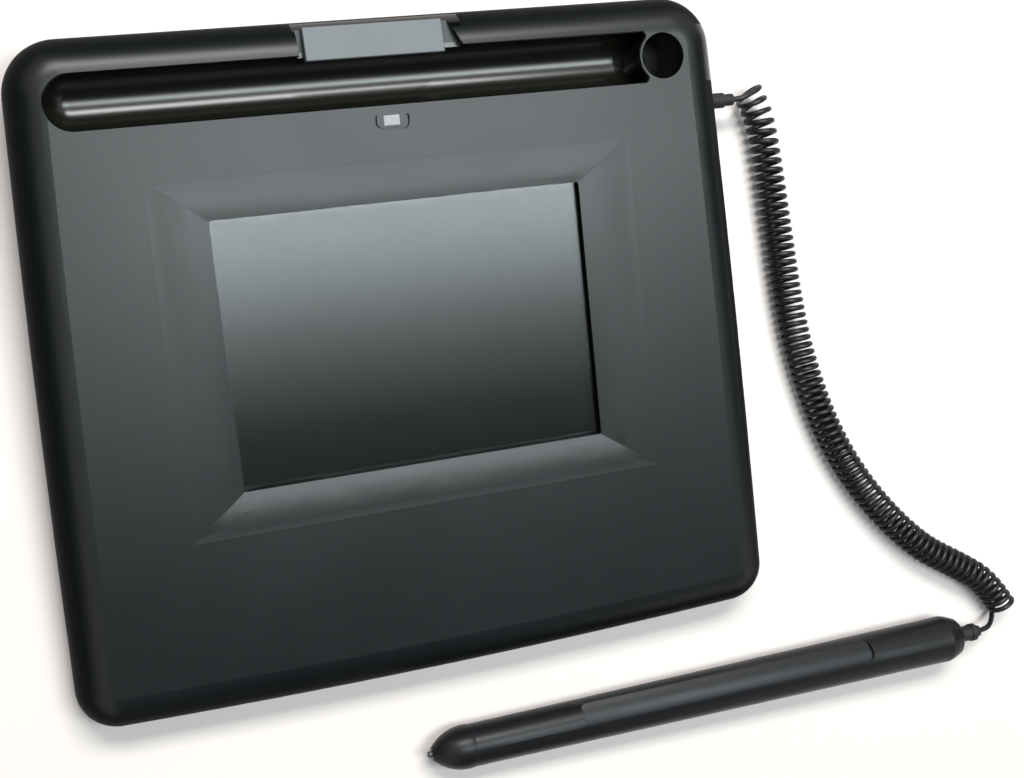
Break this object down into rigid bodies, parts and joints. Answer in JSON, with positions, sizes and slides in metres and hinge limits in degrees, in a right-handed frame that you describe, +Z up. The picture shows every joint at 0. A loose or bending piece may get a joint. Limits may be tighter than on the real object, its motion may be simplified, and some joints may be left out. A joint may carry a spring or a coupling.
{
  "type": "signature pad",
  "caption": "Desktop signature capture pad with a dished screen opening, a pen groove and well along its back, and a tethered pen on a short curly cord.",
  "frame": {"origin": "on the desk, midway between the pad's four feet", "axes": "+X to the right along the pen groove, +Y away from the writer towards the groove, +Z up from the desk"},
  "size_m": [0.2877, 0.2089, 0.0265],
  "materials": {
    "housing": "fine matte texture, near black",
    "gloss_black": "polished black",
    "plate_grey": "satin grey, bare",
    "foot_rubber": "matte",
    "screw_steel": "zinc plated",
    "sheet_steel": "bright sheet",
    "foam": "closed cell foam",
    "cover_glass": "fine anti-glare etch",
    "panel_glass": "unlit display, dark grey",
    "white_plastic": "moulded",
    "inner_plastic": "moulded",
    "circuit_board": "green solder mask on glass laminate",
    "chip_resin": "moulded resin",
    "light_pipe": "milky, unlit",
    "ribbon_film": "amber film",
    "soft_rubber": "matte",
    "cord_jacket": "satin black jacket",
    "pen_plastic": "semi-gloss, near black",
    "nib_plastic": "hard wearing plastic",
    "copper_wire": "enamelled copper winding"
  },
  "bodies": {
    "pad": {"top_cover": "housing", "bottom_cover": "housing", "rubber_feet": "foot_rubber", "cover_screws": "screw_steel", "pen_trough": "gloss_black", "pen_well": "gloss_black", "name_plate": "plate_grey", "screen_gasket": "foam", "screen_glass": "cover_glass", "display_bezel": "sheet_steel", "display_panel": "panel_glass", "backlight": "white_plastic", "sensor_board": "circuit_board", "shield_plate": "sheet_steel", "display_frame": "inner_plastic", "frame_screws": "screw_steel", "main_board": "circuit_board", "board_screws": "screw_steel", "controller_chip": "chip_resin", "usb_socket": "sheet_steel", "pen_header": "white_plastic", "inner_lead": "cord_jacket", "status_led": "white_plastic", "status_window": "light_pipe", "display_connector": "white_plastic", "sensor_connector": "white_plastic", "display_ribbon": "ribbon_film", "sensor_ribbon": "ribbon_film", "strain_relief": "soft_rubber", "pad_lead": "cord_jacket", "curly_cord": "cord_jacket", "pen_lead": "cord_jacket"},
    "pen": {"pen_end_cap": "pen_plastic", "pen_barrel": "pen_plastic", "pen_nose_cone": "pen_plastic", "tip_coil": "copper_wire", "pressure_switch": "inner_plastic", "pen_board": "circuit_board", "pen_boot": "soft_rubber", "pen_inner_lead": "cord_jacket"},
    "nib": {"pen_nib": "nib_plastic"}
  },
  "joints": [
    {"name": "pen_lift", "type": "slide", "parent": "pad", "child": "pen", "axis": [-0.0075, 0, 1], "range_m": [0, 0.06]},
    {"name": "nib_press", "type": "slide", "parent": "pen", "child": "nib", "axis": [1, -0.0006, 0.0075], "range_m": [0, 0.0004], "stiffness_N_per_m": 500}
  ]
}
